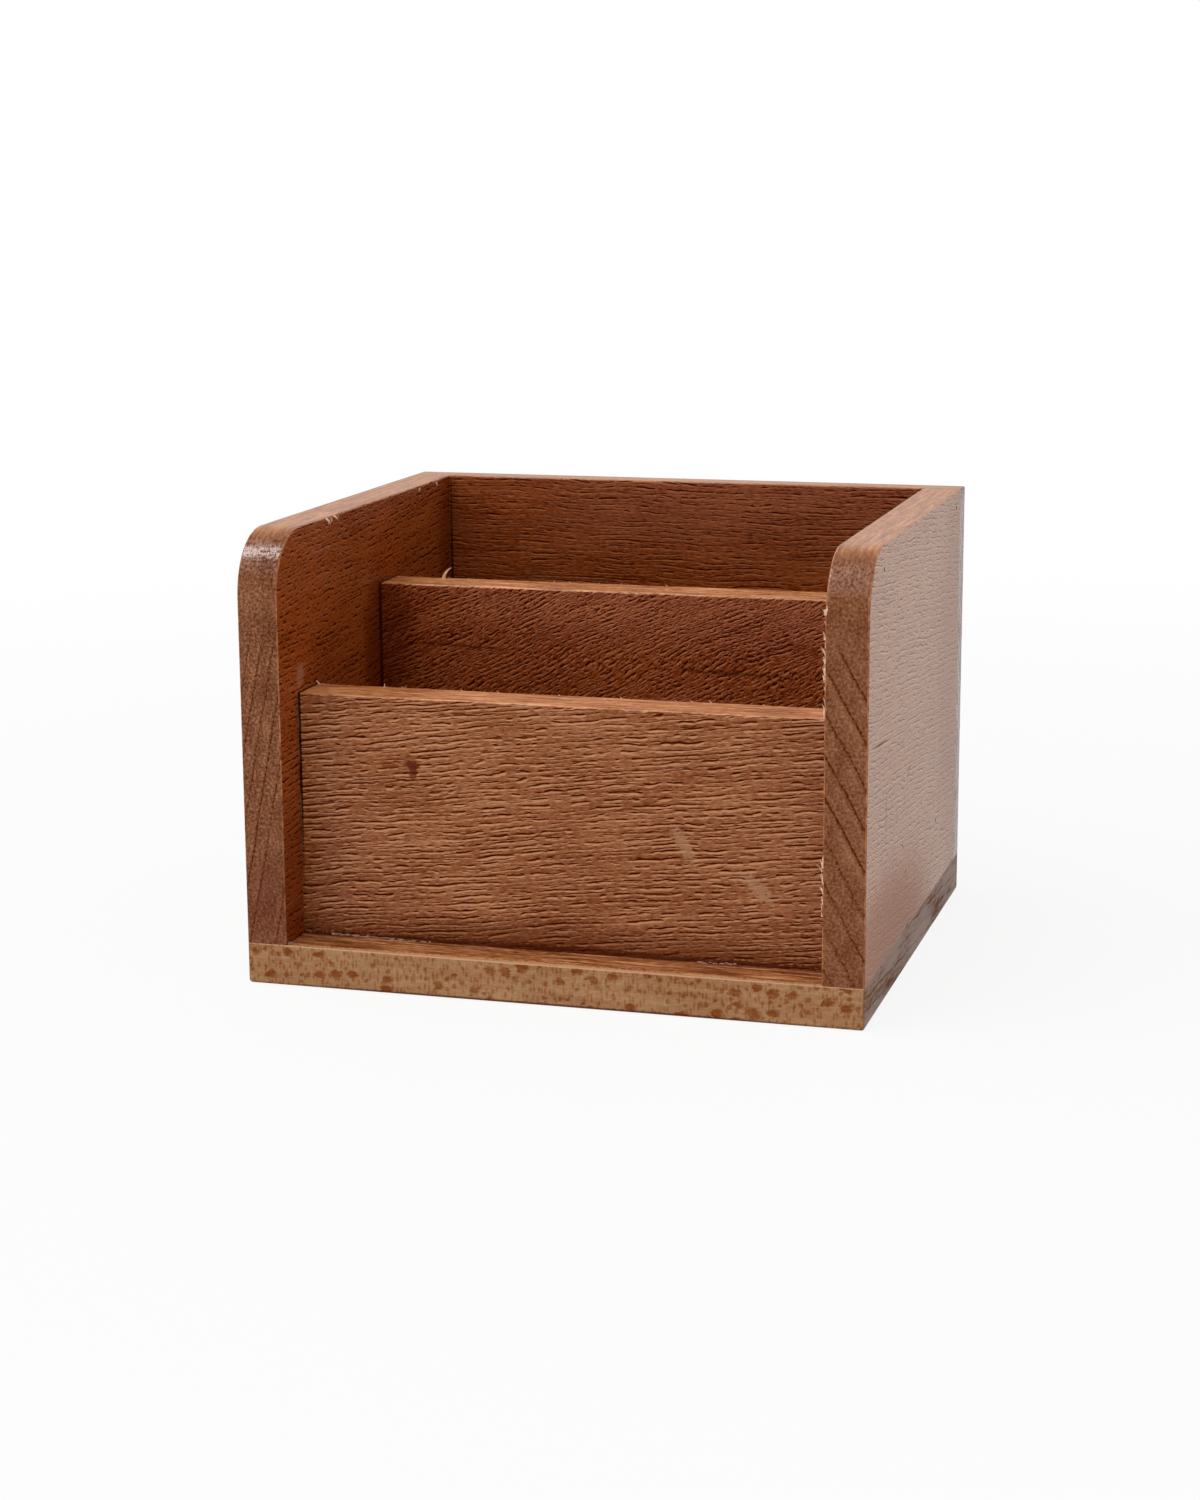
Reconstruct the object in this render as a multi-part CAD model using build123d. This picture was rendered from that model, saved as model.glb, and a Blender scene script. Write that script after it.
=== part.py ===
from build123d import *
import math
import os

# Business card and pen stand: six beech boards, butt jointed on hidden dowel pins.
# Millimetres. +X right, +Y towards the back, +Z up, origin at the bottom centre of the base.

# Overall size
WIDTH = 120.0
DEPTH = 105.0
HEIGHT = 87.0

# Board thicknesses
BASE_THICKNESS = 8.0
WALL_THICKNESS = 8.0
FRONT_THICKNESS = 10.0
DIVIDER_THICKNESS = 10.0
BACK_THICKNESS = 6.0

# Layout: the cross boards' heights are above the base, the set-back is behind the wall fronts
FRONT_SET_BACK = 9.0
FRONT_HEIGHT = 47.5
CARD_BAY_DEPTH = 35.0
DIVIDER_HEIGHT = 62.0

# Shaping
TOP_CORNER_RADIUS = 12.0
ARRIS_RADIUS = 0.4
UNDERSIDE_ARRIS_RADIUS = 0.7

# Fluted dowel pins and the blind sockets that they are glued into
PIN_DIAMETER = 4.0
PIN_LENGTH = 15.0
PIN_CHAMFER = 0.5
FLUTE_COUNT = 12
FLUTE_DEPTH = 0.25
SOCKET_RADIAL_CLEARANCE = 0.05
SOCKET_END_CLEARANCE = 0.5
SOCKET_SKIN = 2.0
PIN_INSET = 12.0

# Places that follow from the sizes above
FRONT_Y = -DEPTH / 2
WALL_REAR_Y = DEPTH / 2 - BACK_THICKNESS
PANEL_Y = FRONT_Y + FRONT_SET_BACK
DIVIDER_Y = PANEL_Y + FRONT_THICKNESS + CARD_BAY_DEPTH
PEN_BAY_Y = DIVIDER_Y + DIVIDER_THICKNESS
WALL_INNER_X = WIDTH / 2 - WALL_THICKNESS
WALL_MIDDLE_X = WIDTH / 2 - WALL_THICKNESS / 2
WALL_HEIGHT = HEIGHT - BASE_THICKNESS
BAY_WIDTH = 2 * WALL_INNER_X

LEFT = -1
RIGHT = 1
FROM_CORNER = (Align.CENTER, Align.MIN, Align.MIN)
UPWARD = (Align.CENTER, Align.CENTER, Align.MIN)


class PinJoint:
    """One dowel pin across a butt joint, half in each board.

    seat is the plane of the joint with its normal towards the board whose end is pinned. The other
    board is pinned through its face, so its socket stops SOCKET_SKIN short of the far side.
    """

    def __init__(self, origin, towards_end, face_board_thickness):
        self.seat = Plane(origin=origin, z_dir=towards_end)
        self.face_depth = face_board_thickness - SOCKET_SKIN
        self.end_depth = PIN_LENGTH + 2 * SOCKET_END_CLEARANCE - self.face_depth

    def socket(self, depth, side):
        radius = PIN_DIAMETER / 2 + SOCKET_RADIAL_CLEARANCE
        hole = Cylinder(radius, depth, align=UPWARD)
        if side == "face":
            hole = Rot(180, 0, 0) * hole
        return self.seat * hole

    def face_socket(self):
        return self.socket(self.face_depth, "face")

    def end_socket(self):
        return self.socket(self.end_depth, "end")

    def pin(self):
        start = SOCKET_END_CLEARANCE - self.face_depth
        return self.seat * Pos(0, 0, start) * fluted_pin()


def fluted_pin():
    """A dowel pin along +Z: glue flutes along its length, lofted in to a chamfered tip at each end."""
    ridge = PIN_DIAMETER / 2
    corners = []
    for step in range(2 * FLUTE_COUNT):
        radius = ridge - FLUTE_DEPTH * (step % 2)
        angle = math.pi * step / FLUTE_COUNT
        corners.append((radius * math.cos(angle), radius * math.sin(angle)))
    section = make_face(Polyline(*corners, close=True))
    tip = scale(section, by=1 - PIN_CHAMFER / ridge)
    shank = [Pos(0, 0, z) * section for z in (PIN_CHAMFER, PIN_LENGTH - PIN_CHAMFER)]
    return loft([tip, *shank, Pos(0, 0, PIN_LENGTH) * tip], ruled=True)


def edges_of(faces):
    return [edge for face in faces for edge in face.edges()]


def ease(board, joint_edges):
    """Round a board's arrises, leaving the joint edges sharp so that the joint closes tight."""
    free = [edge for edge in board.edges() if edge not in joint_edges]
    return fillet(free, ARRIS_RADIUS)


def base_board():
    """The bottom board. Its top edges stay sharp, because walls and back stand flush with them."""
    board = Pos(0, FRONT_Y, 0) * Box(WIDTH, DEPTH, BASE_THICKNESS, align=FROM_CORNER)
    board = fillet(board.edges().filter_by(Axis.Z), ARRIS_RADIUS)
    underside = board.faces().sort_by(Axis.Z)[0]
    return fillet(underside.edges(), UNDERSIDE_ARRIS_RADIUS)


def side_wall(hand):
    """A side wall on the base, its top front corner rounded. hand is LEFT or RIGHT."""
    outline = Rectangle(WALL_REAR_Y - FRONT_Y, WALL_HEIGHT, align=(Align.MIN, Align.MIN))
    top_front = outline.vertices().group_by(Axis.Y)[-1].sort_by(Axis.X)[0]
    outline = fillet(top_front, TOP_CORNER_RADIUS)
    wall = extrude(Plane.YZ * outline, WALL_THICKNESS / 2, both=True)
    wall = Pos(hand * WALL_MIDDLE_X, FRONT_Y, BASE_THICKNESS) * wall
    bottom = wall.faces().sort_by(Axis.Z)[0]
    rear = wall.faces().sort_by(Axis.Y)[-1]
    return ease(wall, edges_of([bottom, rear]))


def cross_board(front_y, thickness, height):
    """A board between the walls, glued at both ends and underneath."""
    board = Pos(0, front_y, BASE_THICKNESS) * Box(BAY_WIDTH, thickness, height, align=FROM_CORNER)
    bottom = board.faces().sort_by(Axis.Z)[0]
    return ease(board, edges_of(board.faces().filter_by(Axis.X) + [bottom]))


def back_panel():
    """The full-width back, lapped over the walls' rear ends. Its top front edge shows, so it is eased."""
    board = Pos(0, WALL_REAR_Y, BASE_THICKNESS) * Box(WIDTH, BACK_THICKNESS, WALL_HEIGHT, align=FROM_CORNER)
    bottom = board.faces().sort_by(Axis.Z)[0]
    lap_front = board.faces().sort_by(Axis.Y)[0]
    lap_edges = lap_front.edges().sort_by(Axis.Z)[:-1]
    return ease(board, bottom.edges() + lap_edges)


def wall_foot_joints(hand):
    """Pins from the base up into a wall, one under the middle of each bay."""
    card_bay_middle = PANEL_Y + FRONT_THICKNESS + CARD_BAY_DEPTH / 2
    pen_bay_middle = (PEN_BAY_Y + WALL_REAR_Y) / 2
    places = [(hand * WALL_MIDDLE_X, y, BASE_THICKNESS) for y in (card_bay_middle, pen_bay_middle)]
    return [PinJoint(place, (0, 0, 1), BASE_THICKNESS) for place in places]


def pin_heights(board_height):
    """Heights of the two pins at the end of an upright board."""
    return BASE_THICKNESS + PIN_INSET, BASE_THICKNESS + board_height - PIN_INSET


def cross_board_joints(hand, front_y, thickness, height):
    """Pins from a wall's inner face into the end of a cross board."""
    middle_y = front_y + thickness / 2
    places = [(hand * WALL_INNER_X, middle_y, z) for z in pin_heights(height)]
    return [PinJoint(place, (-hand, 0, 0), WALL_THICKNESS) for place in places]


def back_joints(hand):
    """Pins from the back panel forward into a wall's rear end."""
    places = [(hand * WALL_MIDDLE_X, WALL_REAR_Y, z) for z in pin_heights(WALL_HEIGHT)]
    return [PinJoint(place, (0, -1, 0), BACK_THICKNESS) for place in places]


def face_sockets(joints):
    return [joint.face_socket() for joint in joints]


def end_sockets(joints):
    return [joint.end_socket() for joint in joints]


def pins(joints):
    return Compound(children=[joint.pin() for joint in joints])


def build():
    """Every node of the stand, by name."""
    front_sizes = (PANEL_Y, FRONT_THICKNESS, FRONT_HEIGHT)
    divider_sizes = (DIVIDER_Y, DIVIDER_THICKNESS, DIVIDER_HEIGHT)
    foot = {hand: wall_foot_joints(hand) for hand in (LEFT, RIGHT)}
    front = {hand: cross_board_joints(hand, *front_sizes) for hand in (LEFT, RIGHT)}
    divider = {hand: cross_board_joints(hand, *divider_sizes) for hand in (LEFT, RIGHT)}
    back = {hand: back_joints(hand) for hand in (LEFT, RIGHT)}

    def drilled_wall(hand):
        into_ends = end_sockets(foot[hand]) + end_sockets(back[hand])
        into_face = face_sockets(front[hand]) + face_sockets(divider[hand])
        return side_wall(hand) - into_ends - into_face

    def both(joints):
        return joints[LEFT] + joints[RIGHT]

    return {
        "base_board": base_board() - face_sockets(both(foot)),
        "left_side": drilled_wall(LEFT),
        "right_side": drilled_wall(RIGHT),
        "front_panel": cross_board(*front_sizes) - end_sockets(both(front)),
        "middle_divider": cross_board(*divider_sizes) - end_sockets(both(divider)),
        "back_panel": back_panel() - face_sockets(both(back)),
        "base_dowels": pins(both(foot)),
        "front_panel_dowels": pins(both(front)),
        "divider_dowels": pins(both(divider)),
        "back_panel_dowels": pins(both(back)),
    }


os.makedirs("parts", exist_ok=True)
for node, shape in build().items():
    export_step(shape, f"parts/{node}.step")
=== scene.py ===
"""Looks of a wooden business card and pen stand: lacquered beech boards on a pale studio floor.

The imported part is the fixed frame, in metres: +X to the right, +Y towards the back panel, +Z up.
Sizes on the boards' faces, such as a dash's length, are in millimetres.
"""

import logging
import math
import random
from dataclasses import dataclass
from enum import Enum
from typing import Mapping, Sequence, Union

import bmesh
import bpy
from mathutils import Matrix, Vector


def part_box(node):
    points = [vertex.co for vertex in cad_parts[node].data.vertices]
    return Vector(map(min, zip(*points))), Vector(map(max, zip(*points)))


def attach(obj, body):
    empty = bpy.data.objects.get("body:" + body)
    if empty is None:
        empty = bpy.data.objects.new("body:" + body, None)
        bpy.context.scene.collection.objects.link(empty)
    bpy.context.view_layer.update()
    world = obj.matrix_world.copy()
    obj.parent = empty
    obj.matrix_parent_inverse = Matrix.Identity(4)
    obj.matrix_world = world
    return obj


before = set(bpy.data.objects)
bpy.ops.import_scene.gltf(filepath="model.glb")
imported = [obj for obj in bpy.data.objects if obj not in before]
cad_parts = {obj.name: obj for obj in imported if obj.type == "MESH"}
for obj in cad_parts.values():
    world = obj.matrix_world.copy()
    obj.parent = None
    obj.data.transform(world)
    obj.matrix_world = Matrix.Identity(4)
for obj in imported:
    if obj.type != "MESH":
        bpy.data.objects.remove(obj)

LOG = logging.getLogger("card_stand")
MM = 0.001
PHOTO_WIDTH = 1200
PHOTO_HEIGHT = 1500
WHITE = (1.0, 1.0, 1.0, 1.0)
# Level of a colour ramp that gives a wood's main colour
MAIN = 0.5
# How much of a normal has to lie along an axis for its face to count as facing that way
SQUARE_ON = 0.6
# Sockets of a Mix node that mixes colours
MIX_UNDER = 6
MIX_OVER = 7
MIX_RESULT = 2

Colour = tuple[float, float, float, float]
Pair = tuple[float, float]
Point = tuple[float, float, float]
Operand = Union["Value", float]


def tone(red: int, green: int, blue: int) -> Colour:
    """A colour as the shaders take it.

    Args:
        red: Display red, 0 to 255.
        green: Display green, 0 to 255.
        blue: Display blue, 0 to 255.

    Returns:
        The same colour as linear light, with an alpha of 1.
    """

    def linear(level: int) -> float:
        """One channel in linear light."""
        share = level / 255
        return share / 12.92 if share <= 0.04045 else ((share + 0.055) / 1.055) ** 2.4

    return (linear(red), linear(green), linear(blue), 1.0)


class Value:
    """A number that varies over a surface, used in Python arithmetic. Each operation is a Math node."""

    def __init__(self, graph: "Graph", source: object) -> None:
        """Keep the graph and the socket that gives the number."""
        self.graph = graph
        self.source = source

    def op(self, operation: str, *operands: Operand) -> "Value":
        """One Math node.

        Args:
            operation: The Math node's operation.
            operands: Its inputs, in order.

        Returns:
            The node's result.
        """
        return self.graph.value("ShaderNodeMath", {"operation": operation}, dict(enumerate(operands)))

    def __add__(self, other: Operand) -> "Value":
        """self + other."""
        return self.op("ADD", self, other)

    def __radd__(self, other: Operand) -> "Value":
        """other + self."""
        return self.op("ADD", other, self)

    def __sub__(self, other: Operand) -> "Value":
        """self - other."""
        return self.op("SUBTRACT", self, other)

    def __rsub__(self, other: Operand) -> "Value":
        """other - self."""
        return self.op("SUBTRACT", other, self)

    def __mul__(self, other: Operand) -> "Value":
        """self * other."""
        return self.op("MULTIPLY", self, other)

    def __rmul__(self, other: Operand) -> "Value":
        """other * self."""
        return self.op("MULTIPLY", other, self)

    def __truediv__(self, other: Operand) -> "Value":
        """self / other."""
        return self.op("DIVIDE", self, other)

    def __pow__(self, other: Operand) -> "Value":
        """self ** other."""
        return self.op("POWER", self, other)

    def __abs__(self) -> "Value":
        """The size of self, without its sign."""
        return self.op("ABSOLUTE", self)

    def __gt__(self, other: Operand) -> "Value":
        """1 where self is more than other, else 0."""
        return self.op("GREATER_THAN", self, other)

    def __lt__(self, other: Operand) -> "Value":
        """1 where self is less than other, else 0."""
        return self.op("LESS_THAN", self, other)

    def floor(self) -> "Value":
        """The whole number below self."""
        return self.op("FLOOR", self)

    def fraction(self) -> "Value":
        """What is left of self after whole numbers are taken off."""
        return self.op("FRACT", self)

    def most(self, other: Operand) -> "Value":
        """The larger of self and other."""
        return self.op("MAXIMUM", self, other)

    def rise(self, low: float, high: float) -> "Value":
        """A smooth step.

        Args:
            low: Where the step starts, at 0.
            high: Where it ends, at 1. It may be less than low, for a step down.

        Returns:
            0 to 1.
        """
        settings = {"interpolation_type": "SMOOTHSTEP"}
        start, end, first, last = (low, high, 0.0, 1.0) if low < high else (high, low, 1.0, 0.0)
        inputs = {"Value": self, "From Min": start, "From Max": end, "To Min": first, "To Max": last}
        return self.graph.value("ShaderNodeMapRange", settings, inputs)


class Graph:
    """A node tree that is filled by Python expressions."""

    def __init__(self, tree: bpy.types.NodeTree) -> None:
        """Empty the tree and keep it."""
        self.tree = tree
        tree.nodes.clear()

    def node(
        self,
        kind: str,
        settings: Mapping[str, object] | None = None,
        inputs: Mapping[Union[str, int], object] | None = None,
    ) -> bpy.types.Node:
        """Make any node.

        Args:
            kind: The node's type.
            settings: Its settings, set first. For a colour ramp, "stops" is a list of (place, colour).
            inputs: Values or links for its sockets, by name or number.

        Returns:
            The node.
        """
        made = self.tree.nodes.new(kind)
        for name, setting in (settings or {}).items():
            if name == "stops":
                self.set_stops(made.color_ramp, setting)
            else:
                setattr(made, name, setting)
        for key, given in (inputs or {}).items():
            source = given.source if isinstance(given, Value) else given
            if isinstance(source, bpy.types.NodeSocket):
                self.tree.links.new(source, made.inputs[key])
            else:
                made.inputs[key].default_value = source
        return made

    @staticmethod
    def set_stops(ramp: bpy.types.ColorRamp, stops: Sequence[tuple[float, Colour]]) -> None:
        """Give a colour ramp its stops.

        Args:
            ramp: The ramp, with the two stops that it starts with.
            stops: Places from 0 to 1, in order, each with its colour.
        """
        while len(ramp.elements) < len(stops):
            ramp.elements.new(1.0)
        for element, (place, colour) in zip(ramp.elements, stops):
            element.position = place
            element.color = colour

    def value(self, kind: str, settings: Mapping, inputs: Mapping, output: Union[str, int] = 0) -> Value:
        """One number out of a new node.

        Args:
            kind: The node's type.
            settings: Its settings.
            inputs: Its inputs.
            output: Which output is read.

        Returns:
            The number.
        """
        return Value(self, self.node(kind, settings, inputs).outputs[output])

    def reading(self, output: str) -> list[Value]:
        """What the Texture Coordinate node says about the point that is shaded.

        Args:
            output: "Object" for its place in metres, or "Normal" for the direction that it faces.

        Returns:
            X, Y and Z.
        """
        coords = self.node("ShaderNodeTexCoord").outputs[output]
        return [Value(self, out) for out in self.node("ShaderNodeSeparateXYZ", {}, {0: coords}).outputs]

    def flat(self, x: Operand, y: Operand) -> bpy.types.NodeSocket:
        """A vector out of two numbers."""
        return self.node("ShaderNodeCombineXYZ", {}, {"X": x, "Y": y}).outputs[0]

    def noise(self, x: Operand, y: Operand, detail: float = 2.0, roughness: float = 0.5) -> Value:
        """Smooth noise over a plane.

        Args:
            x: First coordinate, in cells.
            y: Second coordinate, in cells.
            detail: How many finer layers are added.
            roughness: How strong the finer layers are.

        Returns:
            About -0.5 to 0.5.
        """
        settings = {"noise_dimensions": "2D"}
        inputs = {"Vector": self.flat(x, y), "Scale": 1.0, "Detail": detail, "Roughness": roughness}
        return self.value("ShaderNodeTexNoise", settings, inputs, "Fac") - 0.5

    def cells(self, x: Operand, y: Operand) -> tuple[Value, Value]:
        """Scattered points, one in each cell of a plane.

        Args:
            x: First coordinate, in cells.
            y: Second coordinate, in cells.

        Returns:
            The distance to the nearest point, and a random number from 0 to 1 that belongs to it.
        """
        settings = {"voronoi_dimensions": "2D", "feature": "F1"}
        node = self.node("ShaderNodeTexVoronoi", settings, {"Vector": self.flat(x, y), "Scale": 1.0})
        split = self.node("ShaderNodeSeparateColor", {}, {"Color": node.outputs["Color"]})
        return Value(self, node.outputs["Distance"]), Value(self, split.outputs[0])

    def blend(self, under: object, over: object, share: Operand) -> bpy.types.NodeSocket:
        """Lay one colour over another.

        Args:
            under: The colour below, a socket or four numbers.
            over: The colour on top.
            share: How much of it shows, 0 to 1.

        Returns:
            The mixed colour.
        """
        settings = {"data_type": "RGBA", "clamp_factor": True}
        inputs = {"Factor": share, MIX_UNDER: under, MIX_OVER: over}
        return self.node("ShaderNodeMix", settings, inputs).outputs[MIX_RESULT]

    def ramp(self, level: Value, stops: Sequence[tuple[float, Colour]]) -> bpy.types.NodeSocket:
        """A colour for each level."""
        return self.node("ShaderNodeValToRGB", {"stops": stops}, {"Fac": level}).outputs["Color"]

    def show(self, shader: bpy.types.Node, output: str = "ShaderNodeOutputMaterial") -> None:
        """Make a shader what the tree shows."""
        self.node(output, {}, {"Surface": shader.outputs[0]})


@dataclass(frozen=True)
class Spot:
    """The point of a surface that is shaded.

    Attributes:
        graph: The graph of the material that shades it.
        place: Its coordinates, in millimetres.
        normal: The direction that it faces.
    """

    graph: Graph
    place: list[Value]
    normal: list[Value]


@dataclass(frozen=True)
class Pattern:
    """Noise of one size and make.

    Attributes:
        size: Length and height of its cells, in millimetres.
        detail: How many finer layers are added.
        roughness: How strong the finer layers are.
        strength: What it is multiplied by.
    """

    size: Pair
    detail: float = 2.0
    roughness: float = 0.5
    strength: float = 1.0

    def at(self, graph: Graph, x: Operand, y: Operand, shift: Pair = (0.0, 0.0)) -> Value:
        """Read it at one place.

        Args:
            graph: The material's graph.
            x: Place along its cells' length.
            y: Place along their height.
            shift: How many cells it is moved by, each way.

        Returns:
            About -0.5 to 0.5, times the strength.
        """
        cells = [at / size + move if move else at / size for at, size, move in zip((x, y), self.size, shift)]
        noise = graph.noise(*cells, self.detail, self.roughness)
        return noise if self.strength == 1.0 else noise * self.strength


class Facing(Enum):
    """Which way a face of the stand points, as the normal's axis and sign."""

    FRONT = (1, -1)
    BACK = (1, 1)
    LEFT = (0, -1)
    RIGHT = (0, 1)
    TOP = (2, 1)

    def mask(self, spot: Spot) -> Value:
        """1 on the faces that point this way, else 0."""
        axis, sign = self.value
        return spot.normal[axis] * sign > SQUARE_ON


class Grain(Enum):
    """The axis that a board's grain follows, then the axis of its other horizontal side."""

    ACROSS = (0, 1)
    FORWARD = (1, 0)


@dataclass(frozen=True)
class Tones:
    """Three colours of one wood surface.

    Attributes:
        dark: Its darkest lines.
        middle: Its main colour.
        pale: Its palest lines.
    """

    dark: Colour
    middle: Colour
    pale: Colour

    def stops(self) -> list[tuple[float, Colour]]:
        """The colours as a ramp, centred on the main one."""
        return [(0.0, self.dark), (MAIN, self.middle), (1.0, self.pale)]


@dataclass(frozen=True)
class Ripple:
    """The planed figure of a face: rows of thin dark tapered dashes, each with a paler lip below it.

    Attributes:
        pitch: Length of a dash, and the distance between two rows of dashes.
        slope: Degrees that the dashes rise along the grain.
        wave: How far the rows wander sideways.
        thick: Half of a dash's thickness, as a share of the distance between rows.
        bare: How much of a row has no dash, from -0.2 for nearly none to 0.2 for nearly all.
        dark: How much a dash darkens the wood, partly as painted shade.
        pale: How much its lip lightens it, as a painted highlight.
        dull: How much of its lacquer a dash has lost.
        depth: How deep a dash is, for the bump.
    """

    # The fine layer: how much finer it is along and across, how far it is moved, and how strong it is
    FINER = (1.6, 1.7)
    FINE_START = (31.0, 17.0)
    FINE_SHARE = 0.7
    # Noise that thins the dashes out in places, in dash lengths and rows
    CROWD = Pattern((4.0, 5.0), 1.0, strength=0.4)
    # How fast a row bends along and across, and how far, in rows
    BENDS = (0.4, 0.3)
    BEND = 0.8
    # How fast a dash leans out of its row, and how far, in rows
    LEANS = 0.7
    LEAN = 0.4
    # How far the noise of one row lies from the next row's, for the swell and for the lean
    SWELL_STRIDE = (7.3, 3.1)
    LEAN_STRIDE = (5.9, 4.3)
    # How much the swell has to rise for a dash to reach its full thickness
    TAPER = 0.2
    # Soft edges of a dash and of its lip, and the space between the two, in rows
    DASH_EDGE = (-0.02, 0.1)
    LIP_EDGE = (-0.06, 0.08)
    LIP_SPACE = 0.08
    # How high a lip stands, where a dash is 1 deep
    LIP_HEIGHT = 0.4

    pitch: Pair
    slope: float = 0.0
    wave: float = 1.0
    thick: float = 0.14
    bare: float = 0.0
    dark: float = 0.5
    pale: float = 0.5
    dull: float = 1.0
    depth: float = 1.0

    def draw(self, graph: Graph, run: Value, lift: Value) -> tuple[Value, Value, Value]:
        """Draw the figure in a coarse and a fine layer.

        Args:
            graph: The material's graph.
            run: Place along the dashes.
            lift: Place across them.

        Returns:
            The dashes, their lips, and the height.
        """
        run = run / self.pitch[0]
        lift = lift / self.pitch[1]
        coarse = self.layer(graph, run, lift)
        finer, start = self.FINER, self.FINE_START
        fine = self.layer(graph, run * finer[0] + start[0], lift * finer[1] + start[1])
        line, lip = [many.most(few * self.FINE_SHARE) for many, few in zip(coarse, fine)]
        return line, lip, (lip * self.LIP_HEIGHT - line) * self.depth

    def layer(self, graph: Graph, run: Value, lift: Value) -> tuple[Value, Value]:
        """Draw one layer of dashes. Each row has noise of its own, and a dash lies where it swells.

        Args:
            graph: The material's graph.
            run: Place along the dashes, in dash lengths.
            lift: Place across them, in rows.

        Returns:
            The dashes and their lips.
        """
        rows = lift + graph.noise(run * self.BENDS[0], lift * self.BENDS[1]) * self.BEND
        row = rows.floor()
        along, across = [row * stride for stride in self.SWELL_STRIDE]
        swell = graph.noise(run + along, across, 1.0) + self.CROWD.at(graph, run, lift)
        along, across = [row * stride for stride in self.LEAN_STRIDE]
        lean = graph.noise(run * self.LEANS + along, across) * self.LEAN
        off = rows - row - 0.5 - lean
        reach = swell.rise(self.bare, self.bare + self.TAPER) * self.thick
        line = (reach - abs(off)).rise(*self.DASH_EDGE)
        lip = (reach - abs(off + self.thick + self.LIP_SPACE)).rise(*self.LIP_EDGE)
        return line, lip


@dataclass(frozen=True)
class FleckSize:
    """One size of ray fleck.

    Attributes:
        finer: How many of its cells lie in one of the largest, along the grain and across it.
        ragged: How ragged its outline is, along and across.
        start: How far its cells are moved, along and across, in cells.
        edge: Distances from its middle at which it starts to show and shows in full, in cells.
        uneven: How much its size varies.
        share: How many of its cells hold a fleck, where the largest have 1.
        weight: How strong it is.
    """

    finer: Pair
    ragged: Pair
    start: Pair
    edge: Pair
    uneven: float
    share: float
    weight: float

    def draw(self, graph: Graph, place: tuple[Value, Value], shake: Value, share: float) -> Value:
        """Draw the flecks of this size.

        Args:
            graph: The material's graph.
            place: Place along the grain and across it, in cells of the largest flecks.
            shake: Noise that frays their outlines.
            share: How many of the largest flecks' cells hold one.

        Returns:
            How much a fleck shows, 0 to 1.
        """
        x, y = [
            at * finer + shake * ragged + start
            for at, finer, ragged, start in zip(place, self.finer, self.ragged, self.start)
        ]
        near, chance = graph.cells(x, y)
        return (near + chance * self.uneven).rise(*self.edge) * (chance < share * self.share) * self.weight


@dataclass(frozen=True)
class Flecks:
    """Small blunt ray flecks, as on a radial face.

    Attributes:
        pitch: Distance between two large flecks along the grain and across it.
        share: How many of the places hold a fleck, 0 to 1.
        slope: Degrees that the flecks rise along the grain.
        wave: How far the pattern wanders sideways.
        dark: How much a fleck darkens the wood.
        pale: How much the fine upright lines between them lighten or darken the wood.
        dull: How much of its lacquer a fleck has lost.
    """

    # Large blunt flecks, middling ones and small upright ones
    SIZES = (
        FleckSize((1.0, 1.0), (0.35, 0.5), (0.0, 0.0), (0.56, 0.3), uneven=0.5, share=1.0, weight=1.0),
        FleckSize((2.3, 1.6), (0.5, 0.5), (9.0, 0.0), (0.5, 0.22), uneven=0.4, share=1.3, weight=0.75),
        FleckSize((4.6, 1.1), (0.4, 0.0), (0.0, 5.0), (0.46, 0.15), uneven=0.0, share=2.4, weight=0.52),
    )
    # Noise that frays the flecks, and that makes the fine upright lines between them
    SHAKE = Pattern((0.8, 0.6))
    COMB = Pattern((0.45, 2.6), strength=2.0)
    # How deep a fleck lies
    RELIEF = 0.3

    pitch: Pair
    share: float = 0.5
    slope: float = 0.0
    wave: float = 0.3
    dark: float = 0.6
    pale: float = 0.15
    dull: float = 0.2

    def draw(self, graph: Graph, run: Value, lift: Value) -> tuple[Value, Value, Value]:
        """Draw large blunt flecks, middling ones and small upright ones.

        Args:
            graph: The material's graph.
            run: Place along the grain.
            lift: Place across it.

        Returns:
            The flecks, the fine upright lines, and the height.
        """
        shake = self.SHAKE.at(graph, run, lift)
        place = (run / self.pitch[0], lift / self.pitch[1])
        large, middling, small = [size.draw(graph, place, shake, self.share) for size in self.SIZES]
        fleck = large.most(middling).most(small)
        return fleck, self.COMB.at(graph, run, lift), (shake - fleck) * self.RELIEF


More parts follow.
